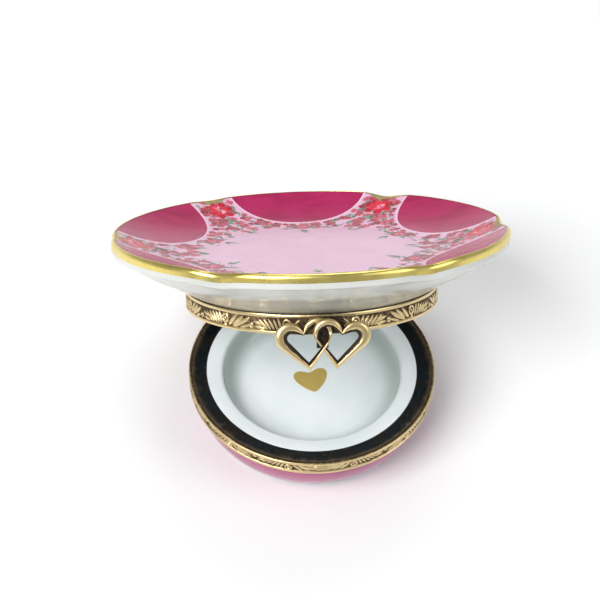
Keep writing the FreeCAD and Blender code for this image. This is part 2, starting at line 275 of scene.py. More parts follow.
# ---- materials ----
class Nodes:
    """A small helper for building the nodes of a material or of the sky."""

    def __init__(self, owner, shader="Principled BSDF"):
        owner.use_nodes = True
        self.owner = owner
        self.tree = owner.node_tree
        self.shader = self.tree.nodes[shader]

    def put(self, socket, value):
        if hasattr(value, "is_output"):
            self.tree.links.new(value, socket)
        else:
            socket.default_value = value

    def node(self, kind, out, inputs, **settings):
        """Adds a node with its settings and inputs filled in, and gives back one of its outputs."""
        node = self.tree.nodes.new(kind)
        for key, value in settings.items():
            setattr(node, key, value)
        for key, value in inputs.items():
            self.put(node.inputs[key], value)
        return node.outputs[out]

    def noise(self, size, detail=3.0, rough=0.5, stretch=(1, 1, 1), distort=0.0):
        """Noise between 0 and 1 with features about size millimetres across."""
        place = self.node("ShaderNodeTexCoord", "Object", {})
        in_mm = self.node("ShaderNodeVectorMath", 0, {0: place, "Scale": 1 / MM}, operation="SCALE")
        stretched = self.node("ShaderNodeMapping", 0, {"Vector": in_mm, "Scale": stretch})
        look = {"Scale": 1 / size, "Detail": detail, "Roughness": rough, "Distortion": distort}
        return self.node("ShaderNodeTexNoise", "Fac", {"Vector": stretched, **look})

    def shade(self):
        return self.node("ShaderNodeAttribute", "Fac", {}, attribute_name="shade")

    def curve(self, value, low, high, to_low=0.0, to_high=1.0):
        inputs = {"Value": value, "From Min": low, "From Max": high, "To Min": to_low, "To Max": to_high}
        return self.node("ShaderNodeMapRange", "Result", inputs, interpolation_type="SMOOTHSTEP")

    def sum(self, a, b):
        return self.node("ShaderNodeMath", 0, {0: a, 1: b}, operation="ADD")

    def mix(self, factor, a, b):
        return self.node("ShaderNodeMix", "Result", {"Factor": factor, "A": a, "B": b}, data_type="RGBA")

    def tint(self, factor, a, b):
        """A mix of two colours that are given as they look."""
        return self.mix(factor, srgb(*a), srgb(*b))

    def bump(self, height, strength, distance):
        inputs = {"Height": height, "Strength": strength, "Distance": distance * MM}
        self.set(Normal=self.node("ShaderNodeBump", 0, inputs))

    def set(self, **values):
        for key, value in values.items():
            self.put(self.shader.inputs[key.replace("_", " ")], value)


def srgb(r, g, b):
    """A colour given as it looks, 0 to 255, as linear light."""
    def linear(v):
        v /= 255
        return v / 12.92 if v <= 0.04045 else ((v + 0.055) / 1.055) ** 2.4

    return linear(r), linear(g), linear(b), 1.0


def glaze(name, colour, deep, size=9.0, streak=(1, 1, 1), roughness=0.10, coat=0.4, painted_shade=None):
    """Glazed porcelain: a colour that drifts a little towards a deeper one, under a clear coat. Where the
    vertex shade is high it turns towards a darker colour: painted shade, for less light falling there."""
    n = Nodes(bpy.data.materials.new(name))
    drift = n.curve(n.noise(size, 4, 0.55, streak, 0.4), 0.35, 0.70)
    mixed = n.tint(drift, colour, deep)
    if painted_shade:
        mixed = n.mix(n.shade(), mixed, srgb(*painted_shade))
    n.set(Base_Color=mixed)
    n.set(Roughness=n.curve(n.noise(3.5, 2), 0.3, 0.7, roughness, roughness + 0.07))
    n.set(IOR=1.45, Coat_Weight=coat, Coat_Roughness=0.08, Coat_IOR=1.45)
    n.bump(n.noise(2.6, 2, 0.4), 0.10, 0.06)
    return n.owner


def enamel(name, colour, light):
    """Painted strokes: each stroke has its own shade between two colours, with brush streaks in it."""
    n = Nodes(bpy.data.materials.new(name))
    streaks = n.curve(n.noise(0.35, 3, 0.6, (1, 1, 1), 1.0), 0.3, 0.75, -0.18, 0.22)
    mixed = n.sum(n.shade(), streaks)
    n.set(Base_Color=n.tint(n.curve(mixed, 0, 1), colour, light))
    n.set(Roughness=n.curve(n.noise(1.0, 2), 0.3, 0.7, 0.16, 0.26))
    n.set(IOR=1.45)
    n.bump(n.noise(0.4, 2, 0.5), 0.12, 0.03)
    return n.owner


def gilding(name, colour, deep, roughness, metallic=1.0, uneven=0.06):
    """Gold laid on the glaze: thinner and browner here and there."""
    n = Nodes(bpy.data.materials.new(name))
    thin = n.curve(n.noise(7.0, 3, 0.5, (1, 1, 1), 0.4), 0.40, 0.80)
    n.set(Base_Color=n.tint(thin, colour, deep), Metallic=metallic)
    n.set(Roughness=n.curve(n.noise(2.4, 3, 0.5), 0.25, 0.8, roughness, roughness + 0.10))
    n.bump(n.noise(1.2, 3, 0.5), uneven, 0.035)
    return n.owner


def blackened(name, teal, brown, edge):
    """Blackened brass that is bluish in some places and brown in others, and rubbed paler where the vertex
    shade is high."""
    n = Nodes(bpy.data.materials.new(name))
    cloud = n.curve(n.noise(7.0, 4, 0.6, (1, 1, 1), 0.6), 0.35, 0.65)
    grain = n.curve(n.noise(1.6, 4, 0.6), 0.2, 0.8, -0.15, 0.15)
    rubbed = n.curve(n.sum(n.shade(), grain), 0.30, 0.95)
    n.set(Base_Color=n.mix(rubbed, n.tint(cloud, teal, brown), srgb(*edge)), Metallic=0.75)
    n.set(Roughness=n.curve(n.noise(2.2, 3, 0.6), 0.3, 0.7, 0.24, 0.40))
    n.bump(n.noise(0.9, 4, 0.6), 0.18, 0.05)
    return n.owner


def worn_metal(name, bright, patina, low, high, roughness, even=None):
    """Patinated brass: the vertex shade is 0 in recesses, where the patina stays, and 1 on rubbed places.
    A mesh with no shades is rubbed to the same degree all over, which even gives."""
    n = Nodes(bpy.data.materials.new(name))
    grain = n.curve(n.noise(0.55, 5, 0.65, (1, 1, 1), 0.5), 0.2, 0.8, -0.2, 0.2)
    cloud = n.curve(n.noise(6.0, 4, 0.6), 0.3, 0.7, -0.16, 0.16)
    base = n.shade() if even is None else even
    rubbed = n.sum(n.sum(grain, cloud), base)
    wear = n.curve(rubbed, low, high)
    n.set(Base_Color=n.tint(wear, patina, bright), Metallic=n.curve(wear, 0, 0.6, 0.55, 1.0))
    n.set(Roughness=n.curve(wear, 0, 1, roughness + 0.26, roughness))
    n.bump(n.noise(0.30, 5, 0.6), 0.22, 0.05)
    return n.owner


WHITE = glaze("white_porcelain", (232, 236, 234), (220, 227, 224), 12.0)
# the bowl's white greys on its inner wall: painted shade, lighter towards the front
BOWL_WHITE = glaze("bowl_glaze_painted_shade", (233, 238, 239), (224, 231, 232), 12.0, painted_shade=(172, 183, 178))
# the lid's lip and underside: a greyer white that is painted shade, darker still towards the band
UNDERSIDE_SHADED = glaze(
    "underside_painted_shade_glaze", (209, 211, 207), (199, 201, 195), 12.0, roughness=0.20, coat=0.25,
    painted_shade=(168, 165, 150),
)
BISCUIT = glaze("unglazed_foot", (222, 217, 205), (205, 198, 184), 3.0, roughness=0.55, coat=0)
PINK = glaze("pink_ground", (230, 185, 211), (225, 177, 204), 10.0, roughness=0.20, coat=0)
MAGENTA = glaze("magenta_cartouche", (180, 30, 92), (160, 22, 76), 7.0, (1, 2.2, 1), 0.20, 0)
ROSE_OUTSIDE = glaze("rose_bowl_outside", (172, 80, 122), (158, 68, 112), 9.0)
PALE_LINE = glaze("pale_line", (238, 208, 224), (234, 200, 218), 3.0, roughness=0.20, coat=0)
GOLD = gilding("rim_gilding", (234, 214, 126), (216, 192, 102), 0.25, 0.95, 0.03)
HEART_GOLD = gilding("floor_heart_gilding", (214, 186, 100), (198, 160, 96), 0.42, 0.5, 0.12)
CUSP_GOLD = gilding("cusp_gilding", (200, 186, 128), (140, 118, 56), 0.34, 0.7, 0.12)
BLOSSOM = enamel("blossom_red", (160, 30, 58), (224, 108, 132))
ROSE_RED = enamel("rose_red", (190, 16, 40), (228, 56, 80))
ROSE_PINK = enamel("rose_heart", (230, 112, 144), (248, 178, 198))
LEAF_GREY = enamel("grey_green_leaf", (88, 100, 88), (176, 184, 172))
LEAF_GREEN = enamel("bright_green_leaf", (24, 96, 60), (84, 156, 106))
STEM = enamel("dark_stem", (66, 60, 58), (128, 104, 104))
RED_LINE = enamel("rim_line", (120, 34, 60), (150, 58, 84))
BAND_BRASS = worn_metal("embossed_brass", (224, 201, 152), (70, 50, 28), 0.14, 0.76, 0.30)
HEART_BRASS = worn_metal("clasp_brass", (226, 202, 150), (46, 31, 24), 0.22, 0.68, 0.33)
HINGE_BRASS = worn_metal("hinge_brass", (208, 186, 134), (60, 46, 30), 0.15, 0.80, 0.30)
LEAF_BRASS = worn_metal("hinge_leaf_brass", (208, 186, 134), (60, 46, 30), 0.15, 0.80, 0.30, 0.62)
DULL_BRASS = worn_metal("backplate_brass", (150, 130, 96), (34, 25, 20), 0.20, 0.90, 0.34, 0.36)
DARK_BRASS = blackened("blackened_brass", (26, 36, 42), (44, 38, 33), (130, 114, 90))
PLASTER = glaze("cement", (212, 208, 196), (196, 190, 176), 2.0, roughness=0.7, coat=0)


# ---- the dish ----
def cusp(angle):
    """1 at a full dip between two lobes, less on the soft side, and 0 at the middle of a lobe."""
    angle = np.asarray(angle)
    even = ((1 + np.cos(LOBES * angle)) / 2) ** CUSP_SHARPNESS
    return even * (1 - SOFT_SIDE_LOSS * np.maximum(0, np.cos(angle - SOFT_SIDE)) ** 2)


def rim_r(angle):
    return DISH_R - CUSP_INSET * cusp(angle)


def rim_z(angle):
    return RIM_Z - CUSP_DIP * cusp(angle)


def dish_z(x, y):
    """Height of the dish's upper face."""
    angle = np.arctan2(y, x)
    crest = rim_r(angle) - LIP
    t = np.clip((np.hypot(x, y) - DISH_FLOOR_R) / (crest - DISH_FLOOR_R), 0, 1.0)
    return DISH_FLOOR_Z + (rim_z(angle) - DISH_FLOOR_Z) * t ** DISH_POWER


def lip_profile():
    """The lip's section as (inset from the outer face, drop below the crest), from crest to underside."""
    upper = [(LIP - LIP * sin(a), LIP_ROUND - LIP_ROUND * cos(a)) for a in np.linspace(0, pi / 2, 9)]
    reach = RIM_H - LIP_LOWER
    lower = [(LIP - LIP * cos(a), LIP_LOWER + reach * sin(a)) for a in np.linspace(0, pi / 2, 7)]
    return upper + lower


def make_plate():
    build = Build()
    angles = full_turn(RIM_STEPS)
    radii = []
    heights = []
    mats = []
    shades = []
    pink, white, under = range(3)

    def ring(r, z, mat, shade=0.0):
        radii.append(np.broadcast_to(r, RIM_STEPS))
        heights.append(np.broadcast_to(z, RIM_STEPS))
        mats.append(mat)
        shades.append(np.broadcast_to(shade, RIM_STEPS))

    crest = rim_r(angles) - LIP
    top = rim_z(angles)
    for r in (3.0, 8.0, 13.0, 16.5):
        ring(r, DISH_FLOOR_Z, pink)
    for t in np.linspace(0, 1, 30):
        rise = (top - DISH_FLOOR_Z) * t ** DISH_POWER
        ring(DISH_FLOOR_R + (crest - DISH_FLOOR_R) * t, DISH_FLOOR_Z + rise, pink)
    # the lip and the underside take the greyer glaze of painted shade
    for inset, drop in lip_profile()[1:]:
        ring(rim_r(angles) - inset, top - drop, under)
    # the painted shade deepens from the lip towards the band, as t grows
    for t in np.linspace(0, 1, 26)[1:]:
        swell = UNDERSIDE_SWELL * sin(pi * min(1.0, t * 1.6)) ** 2
        start = top - RIM_H
        ring(crest + (UNDER_R - crest) * t, start + (LID_BAND_H - start) * t - swell, under, t)
    for r, z in [(NECK_R, LID_BAND_H), (NECK_R, SEAT), (CAVITY_R, SEAT)]:
        ring(r, z, white)
    shoulder = CEILING_ROUND
    for t in np.linspace(0, 1, 8)[1:]:
        r = CAVITY_R + (CEILING_R + shoulder - CAVITY_R) * t
        ring(r, SEAT + (CEILING_Z - shoulder - SEAT) * t, white)
    for a in np.linspace(0, pi / 2, 7)[1:]:
        ring(CEILING_R + shoulder * cos(a), CEILING_Z - shoulder + shoulder * sin(a), white)
    ring(6.0, CEILING_Z, white)
    ring_grid(build, np.array(radii), np.array(heights), angles, mats, shade=np.array(shades))
    cap(build, radii[0], DISH_FLOOR_Z, angles, pink, True)
    cap(build, radii[-1], CEILING_Z, angles, white, False)
    glazes = [PINK, WHITE, UNDERSIDE_SHADED]
    build.piece("plate_porcelain", "lid", glazes, "painted_porcelain_lid", ["plate"], 50)


def make_gilt_rim():
    """A thin closed strip of gold that follows the lip's outside; its section is (inset, drop) pairs."""
    film = 0.02
    bottom = 1.34
    skin = []
    for a in np.linspace(-0.12, pi / 2, 12):
        skin.append((LIP - (LIP + film) * sin(a), LIP_ROUND - (LIP_ROUND + film) * cos(a)))
    for drop in np.linspace(0.8, bottom, 6):
        skin.append((-film, drop))
    section = skin + [(0.10, bottom), (0.10, 0.8), (0.32, 0.35), (0.60, 0.20)]
    angles = full_turn(RIM_STEPS)
    r = np.array([rim_r(angles) - inset for inset, drop in section])
    z = np.array([rim_z(angles) - drop for inset, drop in section])
    build = Build()
    ring_grid(build, r, z, angles, 0, closed=True)
    build.piece("gilt_rim", "lid", [GOLD], "painted_porcelain_lid")


# ---- painting on the dish ----
RED, ROSE, ROSE_HEART, GREY, GREEN, DARK = range(6)


class Painting(Build):
    """Thin closed patches of colour on the dish or on the bowl's floor."""

    def __init__(self, height=dish_z, sink=0.05):
        super().__init__()
        self.height = height
        self.sink = sink

    def blob(self, outline, mat, shade=0.5, lift=0.03, edge=0.012):
        """A closed outline filled as a low dome."""
        outline = np.asarray(outline, float)
        n = len(outline)
        middle = outline.mean(0)
        inner = middle + (outline - middle) * 0.62
        rings = []
        for points, up in ((outline, -self.sink), (outline, edge), (inner, lift)):
            z = self.height(points[:, 0], points[:, 1]) + up
            rings.append(np.c_[points, z])
        z = float(self.height(*middle))
        verts = np.vstack(rings + [[[*middle, z + lift * 1.15]], [[*middle, z - self.sink]]])
        faces = []
        for j in range(n):
            k = (j + 1) % n
            faces.append((j, k, n + k, n + j))
            faces.append((n + j, n + k, 2 * n + k, 2 * n + j))
            faces.append((2 * n + j, 2 * n + k, 3 * n))
            faces.append((k, j, 3 * n + 1))
        self.add(verts, faces, mat, shade)

    def sheet(self, x, y, mat, shade=0.5, lift=0.02):
        """A grid of points laid on the surface as a closed patch."""
        z = self.height(x, y)
        top = np.stack([x, y, z + lift], -1).reshape(-1, 3)
        under = np.stack([x, y, z - self.sink], -1).reshape(-1, 3)
        self.add(np.vstack([top, under]), closed_grid(*x.shape), mat, shade)


def turn(points, angle, x=0.0, y=0.0):
    c = cos(angle)
    s = sin(angle)
    return [(x + px * c - py * s, y + px * s + py * c) for px, py in points]


def petal(length, width, n=9, point=0.0):
    """A petal from the origin along +X, broadest past its middle; point sharpens the far end."""
    points = []
    for i in range(n):
        a = 2 * pi * i / n
        x = 0.5 - 0.5 * cos(a)
        w = sin(a) * (0.55 + 0.45 * x) * (1 - point * x * x)
        points.append((x * length, 0.5 * width * w * 1.15))
    return points


def leaf(painting, rng, x, y, angle, length, width, mat):
    """A pointed leaf with a darker midrib."""
    n = 6
    side = []
    for i in range(n + 1):
        t = i / n
        side.append((t * length, 0.5 * width * sin(pi * t ** 0.8) ** 0.9))
    bend = rng.uniform(-0.10, 0.10)
    upper = [(px, py + bend * px * px / length) for px, py in side]
    lower = [(px, -py + bend * px * px / length) for px, py in side[-2:0:-1]]
    painting.blob(turn(upper + lower, angle, x, y), mat, rng.uniform(0.25, 0.95), 0.028)
    rib = [(0.02 * length, 0.035), (0.85 * length, 0.02 + bend * 0.7), (0.85 * length, -0.02 + bend * 0.7)]
    rib.append((0.02 * length, -0.035))
    painting.blob(turn(rib, angle, x, y), DARK, 0.1, 0.045, 0.035)


def blossom(painting, rng, x, y, size, petals=5):
    """A small open flower seen from above."""
    start = rng.uniform(0, 2 * pi)
    base = rng.uniform(0.05, 0.75)
    for i in range(petals):
        a = start + 2 * pi * i / petals + rng.uniform(-0.12, 0.12)
        length = size * rng.uniform(0.50, 0.60)
        shape = petal(length, size * rng.uniform(0.46, 0.56))
        lift = 0.030 + 0.006 * (i % 2)
        painting.blob(turn(shape, a, x, y), RED, min(1, base + rng.uniform(-0.1, 0.25)), lift)
    dot = [(0.11 * size * cos(a), 0.11 * size * sin(a)) for a in np.arange(8) * pi / 4]
    painting.blob(turn(dot, 0, x, y), DARK, rng.uniform(0.2, 1.0), 0.06, 0.045)


def rose(painting, rng, x, y, size, mat):
    """A full rose: two rounds of red petals and a paler heart of curled strokes."""
    for count, reach, length, shade, lift in ((7, 0.10, 0.44, 0.15, 0.03), (6, 0.04, 0.32, 0.65, 0.05)):
        start = rng.uniform(0, 6)
        for i in range(count):
            a = start + 2 * pi * i / count + rng.uniform(-0.1, 0.1)
            shape = petal(size * length, size * 0.36, 12)
            cx = x + cos(a) * size * reach
            cy = y + sin(a) * size * reach
            painting.blob(turn(shape, a, cx, cy), mat, shade + rng.uniform(-0.12, 0.25), lift + 0.004 * i)
    for i in range(5):
        a = rng.uniform(0, 2 * pi)
        shape = petal(size * 0.20, size * 0.09, 10)
        cx = x + cos(a + 1.2) * size * 0.08
        cy = y + sin(a + 1.2) * size * 0.08
        painting.blob(turn(shape, a, cx, cy), ROSE_HEART, rng.uniform(0.1, 0.9), 0.085 + 0.004 * i, 0.06)


CARTOUCHE_R = 34.8
CARTOUCHE_T = 13.04
CARTOUCHE_D = 13.6
PAINT_EDGE = 0.60
LINE_WIDTH = 0.36


def lobe_axis(k):
    return radians(90 + 60 * k)


def from_lobe(axis, across, out):
    """A point given across and out along a lobe's axis."""
    return (out * np.cos(axis) - across * np.sin(axis), out * np.sin(axis) + across * np.cos(axis))


def rim_out(axis, across):
    """How far out the painted field reaches along a lobe, at this distance across it."""
    out = np.full_like(np.asarray(across, float), DISH_R - PAINT_EDGE)
    for _ in range(30):
        angle = axis + np.arctan2(across, out)
        out = np.sqrt((rim_r(angle) - PAINT_EDGE) ** 2 - across ** 2)
    return out


def inner_edge(across, grow=0.0):
    """The cartouche's rounded inner edge, moved outwards by grow."""
    ratio = np.clip(across / (CARTOUCHE_T + grow), -1, 1)
    return CARTOUCHE_R - (CARTOUCHE_D + grow) * np.sqrt(1 - ratio ** 2)


def cartouche_half_width(axis, grow=0.0):
    low = 6.0
    high = CARTOUCHE_T + grow
    for _ in range(40):
        mid = (low + high) / 2
        if inner_edge(mid, grow) < rim_out(axis, mid):
            low = mid
        else:
            high = mid
    return low


def make_cartouches():
    painting = Painting()
    for k in range(LOBES):
        axis = lobe_axis(k)
        half = cartouche_half_width(axis)
        across = half * np.sin(np.linspace(-pi / 2, pi / 2, 61))
        across[[0, -1]] *= 0.999
        inner = inner_edge(across)
        outer = rim_out(axis, across)
        t = np.linspace(0, 1, 21)[:, None]
        x, y = from_lobe(axis, np.broadcast_to(across, (21, 61)), inner + (outer - inner) * t)
        painting.sheet(x[::-1], y[::-1], 0, 0.5, 0.02)
    painting.piece("cartouches", "lid", [MAGENTA], "painted_porcelain_lid")


def make_cartouche_lines():
    """A pale line along the inner edge of each cartouche."""
    painting = Painting()
    for k in range(LOBES):
        axis = lobe_axis(k)
        half = cartouche_half_width(axis, LINE_WIDTH)
        across = half * np.sin(np.linspace(-pi / 2, pi / 2, 91)) * 0.999
        rows = np.linspace(0.05, LINE_WIDTH, 3)
        out = []
        side = []
        for grow in rows:
            stretch = (CARTOUCHE_T + grow) / (CARTOUCHE_T + LINE_WIDTH)
            side.append(across * stretch)
            out.append(np.minimum(inner_edge(across * stretch, grow), rim_out(axis, across * stretch)))
        x, y = from_lobe(axis, np.array(side), np.array(out))
        painting.sheet(x, y, 0, 0.5, 0.026)
    painting.piece("cartouche_lines", "lid", [PALE_LINE], "painted_porcelain_lid")


def garland_point(axis, beta, away):
    """A point beside a cartouche: beta is the angle round it from its innermost place, away its distance."""
    across = (CARTOUCHE_T + away) * sin(beta)
    out = CARTOUCHE_R - (CARTOUCHE_D + away) * cos(beta)
    return from_lobe(axis, across, out)


def garland_direction(axis, beta):
    """The direction along the garland, as an angle."""
    x0, y0 = garland_point(axis, beta - 0.01, 2.0)
    x1, y1 = garland_point(axis, beta + 0.01, 2.0)
    return atan2(y1 - y0, x1 - x0)


def on_field(x, y, margin):
    """True where a stroke of this size stays on the painted ground."""
    angle = atan2(y, x)
    if hypot(x, y) > rim_r(angle) - PAINT_EDGE - margin:
        return False
    for k in range(LOBES):
        axis = lobe_axis(k)
        out = x * cos(axis) + y * sin(axis)
        across = y * cos(axis) - x * sin(axis)
        room = LINE_WIDTH + 0.05 + margin
        if hypot(across / (CARTOUCHE_T + room), (out - CARTOUCHE_R) / (CARTOUCHE_D + room)) < 1:
            return False
    return True


SECTOR = radians(30)


def from_axis(axis, x, y):
    """The angle between a point's direction and a lobe's axis."""
    return abs((atan2(y, x) - axis + pi) % (2 * pi) - pi)


def both_ends_clear(x, y, angle, length):
    """True where a stroke from (x, y) keeps off the cartouches and the rim."""
    end_x = x + length * cos(angle)
    end_y = y + length * sin(angle)
    return on_field(x, y, 0.1) and on_field(end_x, end_y, 0.1)


def leaf_if_clear(painting, rng, x, y, angle, length, width, mat):
    if both_ends_clear(x, y, angle, length):
        leaf(painting, rng, x, y, angle, length, width, mat)


def garland_station(painting, rng, axis, beta):
    """One step of the garland: blossoms at up to three distances from the cartouche, leaves and stems."""
    along = garland_direction(axis, beta)
    crowd = 0.5 + 0.5 * cos(beta * 11 + axis)
    for away, chance in ((1.3, 0.95), (2.4, 0.78), (3.6, 0.20 + 0.45 * crowd)):
        if rng.random() > chance:
            continue
        size = rng.uniform(0.95, 1.35) + 0.85 * crowd * rng.random()
        x, y = garland_point(axis, beta + rng.uniform(-0.04, 0.04), away + rng.uniform(-0.35, 0.35))
        if on_field(x, y, size * 0.40) and from_axis(axis, x, y) < SECTOR:
            blossom(painting, rng, x, y, size, rng.choice((4, 5, 5, 6)))
    for _ in range(3):
        x, y = garland_point(axis, beta + rng.uniform(-0.06, 0.06), rng.uniform(0.8, 4.6))
        turned = along + rng.uniform(-0.8, 0.8) + rng.choice((0, pi))
        length = rng.uniform(1.0, 2.2)
        leaf_if_clear(painting, rng, x, y, turned, length, length * 0.40, GREY)
    for _ in range(2):
        x, y = garland_point(axis, beta + rng.uniform(-0.06, 0.06), rng.uniform(0.8, 5.4))
        turned = along + rng.uniform(-0.7, 0.7) + rng.choice((0, pi))
        length = rng.uniform(0.8, 2.0)
        if both_ends_clear(x, y, turned, length):
            painting.blob(turn(petal(length, 0.20, 8, 0.5), turned, x, y), DARK, rng.uniform(0, 1), 0.034)


def hanging_spray(painting, rng, axis):
    """The rose and leaves that hang towards the middle of the dish."""
    inward = axis + pi
    x, y = garland_point(axis, 0.0, 2.9)
    for side in (-1, 1):
        leaf(painting, rng, x, y, inward + side * 1.1, 3.0, 1.2, GREY)
    rose(painting, rng, x, y, 3.1, RED)
    for side in (-1, 1):
        x, y = from_lobe(axis, side * 1.9, CARTOUCHE_R - CARTOUCHE_D - 2.8)
        leaf(painting, rng, x, y, inward + side * 0.7, 2.0, 0.85, GREY)
        x, y = from_lobe(axis, side * 0.25, CARTOUCHE_R - CARTOUCHE_D - 5.4)
        leaf(painting, rng, x, y, inward + side * 0.75, 1.6, 0.65, GREY)
    x, y = from_lobe(axis, rng.uniform(-0.3, 0.3), CARTOUCHE_R - CARTOUCHE_D - 5.2)
    leaf(painting, rng, x, y, inward + rng.uniform(-0.2, 0.2), 2.8, 1.2, GREY)


def corner_rose(painting, rng, between):
    """The big rose, its leaves and the blossoms that trail from it, where two lobes meet."""
    crest = float(rim_r(between))
    x = (crest - 3.7) * cos(between)
    y = (crest - 3.7) * sin(between)
    for side in (-1, 1):
        for spread, reach, mat in ((1.9, 2.0, GREEN), (1.1, 2.6, GREY), (2.5, 1.8, GREY)):
            turned = between + pi + side * spread * 0.9
            leaf_x = x + 1.3 * cos(turned)
            leaf_y = y + 1.3 * sin(turned)
            leaf(painting, rng, leaf_x, leaf_y, turned, reach, 0.85, mat)
    for side in (-1, 1):
        bud_x, bud_y = from_lobe(between, side * 1.9, crest - 3.1)
        blossom(painting, rng, bud_x, bud_y, 1.7, 6)
    rose(painting, rng, x, y, 5.2, ROSE)
    x, y = from_lobe(between, 0, crest - 6.6)
    leaf(painting, rng, x, y, between + pi + 0.35, 2.4, 1.1, GREEN)
    leaf(painting, rng, x, y, between + pi - 0.9, 2.0, 0.9, GREEN)
    for out in (7.4, 8.9, 10.4, 11.9, 13.2):
        for side in (-1, 1):
            x, y = from_lobe(between, side * rng.uniform(0.3, 1.9), crest - out + rng.uniform(-0.5, 0.5))
            size = rng.uniform(1.3, 2.1)
            if on_field(x, y, size * 0.4):
                blossom(painting, rng, x, y, size)
            turned = between + pi + side * rng.uniform(0.1, 0.9)
            leaf_if_clear(painting, rng, x, y, turned, rng.uniform(1.4, 2.4), 0.7, GREY)
    for side in (-1, 1):
        x, y = from_lobe(between, side * 0.9, crest - 14.2)
        turned = between + pi + side * rng.uniform(0.2, 0.9)
        leaf_if_clear(painting, rng, x, y, turned, rng.uniform(1.5, 2.2), 0.75, GREY)


def make_garland():
    """Strings of red blossom and grey leaves that follow the cartouches."""
    painting = Painting()
    rng = random.Random(11)
    step = 0.098
    for k in range(LOBES):
        axis = lobe_axis(k)
        for i in range(-12, 13):
            beta = i * step + rng.uniform(-0.03, 0.03)
            x, y = garland_point(axis, beta, 2.1)
            if from_axis(axis, x, y) < radians(29):
                garland_station(painting, rng, axis, beta)
        hanging_spray(painting, rng, axis)
        corner_rose(painting, rng, axis + SECTOR)
    materials = [BLOSSOM, ROSE_RED, ROSE_PINK, LEAF_GREY, LEAF_GREEN, STEM]
    painting.piece("painted_garland", "lid", materials, "painted_porcelain_lid")


def make_cusp_gilding():
    """A brushed triangle of gold inside the rim where two lobes meet."""
    painting = Painting()
    for k in range(LOBES):
        between = lobe_axis(k) + radians(30)
        spread = np.linspace(-1, 1, 25)
        angles = between + spread * radians(8.0)
        outer = rim_r(angles) - LIP * 0.9
        depth = 0.12 + 1.75 * (1 - np.abs(spread)) ** 1.6
        t = np.linspace(0, 1, 7)[:, None]
        r = outer - depth * t
        painting.sheet((r * np.cos(angles))[::-1], (r * np.sin(angles))[::-1], 0, 0.5, 0.03)
    painting.piece("cusp_gilding", "lid", [CUSP_GOLD], "painted_porcelain_lid")


def make_rim_line():
    """A fine dark red line on the dish just inside the gilt rim."""
    painting = Painting()
    angles = np.linspace(0, 2 * pi, RIM_STEPS + 1)
    t = np.linspace(0, 1, 3)[:, None]
    r = rim_r(angles) - PAINT_EDGE - 0.16 * t
    painting.sheet((r * np.cos(angles))[::-1], (r * np.sin(angles))[::-1], 0, 0.4, 0.03)
    painting.piece("rim_line", "lid", [RED_LINE], "painted_porcelain_lid")


# ---- the bowl ----
def make_bowl():
    build = Build()
    rim = MOUNT_R - BAND_WALL - CEMENT
    white, rose_glaze, foot = 0, 1, 2
    profile = []
    mats = []

    def run(points, mat):
        profile.extend(points)
        mats.extend([mat] * len(points))

    run([(4.0, FLOOR_Z), (8.0, FLOOR_Z), (FLOOR_R - 0.8, FLOOR_Z)], white)
    wall = arc(FLOOR_R, LEDGE_IN_Z, LEDGE_R - FLOOR_R, LEDGE_IN_Z - FLOOR_Z, -90, -9, 20)
    wall += arc(LEDGE_R + 0.75, LEDGE_IN_Z - 0.50, 0.75, 0.60, 178, 97, 9)
    run(wall, white)
    # painted shade on the bowl's inner wall, strongest halfway down it
    painted_shade = [0.0] * 3 + [sin(pi * i / (len(wall) - 1)) ** 1.5 for i in range(len(wall))]
    run([(16.4, (LEDGE_OUT_Z + LEDGE_IN_Z) / 2 + 0.02)], white)
    run(arc(COLLAR_IN_R - 0.14, LEDGE_OUT_Z - 0.12, 0.12, 0.12, 90, 0, 4), white)
    run([(COLLAR_IN_R - 0.02, SHELF), (rim, SHELF), (rim, -BASE_BAND_H)], white)
    side = []
    for z in np.linspace(-BASE_BAND_H, BODY_BOTTOM, 40):
        side.append((BOWL_R * sqrt(1 - ((-z - BASE_BAND_H) / BOWL_DEPTH) ** 2), z))
    run(side[:-1], rose_glaze)
    run(side[-1:], white)
    floor = -CLOSING_Z
    run(arc(FOOT_R + 0.25, BODY_BOTTOM - 0.25, 0.25, 0.25, 90, 180, 5), white)
    run([(FOOT_R, floor + 0.12)], white)
    inner = FOOT_R - FOOT_W
    run([(FOOT_R - 0.1, floor), (inner + 0.1, floor)], foot)
    run([(inner, floor + 0.1), (inner, floor + 0.4)], white)
    for t in np.linspace(0, 1, 16)[1:-1]:
        rise = (FOOT_RECESS - 0.4) * sin(t * pi / 2)
        run([(inner * (1 - t), floor + 0.4 + rise)], white)
    segments = 256
    painted_shade += [0.0] * (len(profile) - len(painted_shade))
    angles = full_turn(segments)
    # less painted shade towards the front wall
    less_shade_at_front = 1 - 0.85 * np.maximum(0, -np.sin(angles)) ** 1.5
    lathe(build, profile, segments, mats, False, np.outer(painted_shade, less_shade_at_front))
    cap(build, np.full(segments, profile[0][0]), FLOOR_Z, angles, white, True)
    cap(build, np.full(segments, profile[-1][0]), profile[-1][1], angles, white, False)
    glazes = [BOWL_WHITE, ROSE_OUTSIDE, BISCUIT]
    build.piece("bowl_porcelain", "base", glazes, "painted_porcelain_bowl", ["bowl"], 45)


def make_floor_heart():
    """The small gilt heart painted on the bowl's floor, plump and a little askew."""
    painting = Painting(lambda x, y: np.full_like(np.asarray(x, float), FLOOR_Z), 0.04)
    outline = []
    steps = 64
    for i in range(steps):
        t = 2 * pi * i / steps
        x = 2.92 * (0.86 * sin(t) - 0.14 * sin(3 * t))
        y = 2.44 * cos(t) - 0.84 * cos(2 * t) - 0.28 * cos(3 * t)
        outline.append((x, y))
    painting.blob(turn(outline[::-1], radians(9), 0.12, 1.35), 0, 0.5, 0.03)
    painting.piece("floor_heart", "base", [HEART_GOLD], "painted_porcelain_bowl")


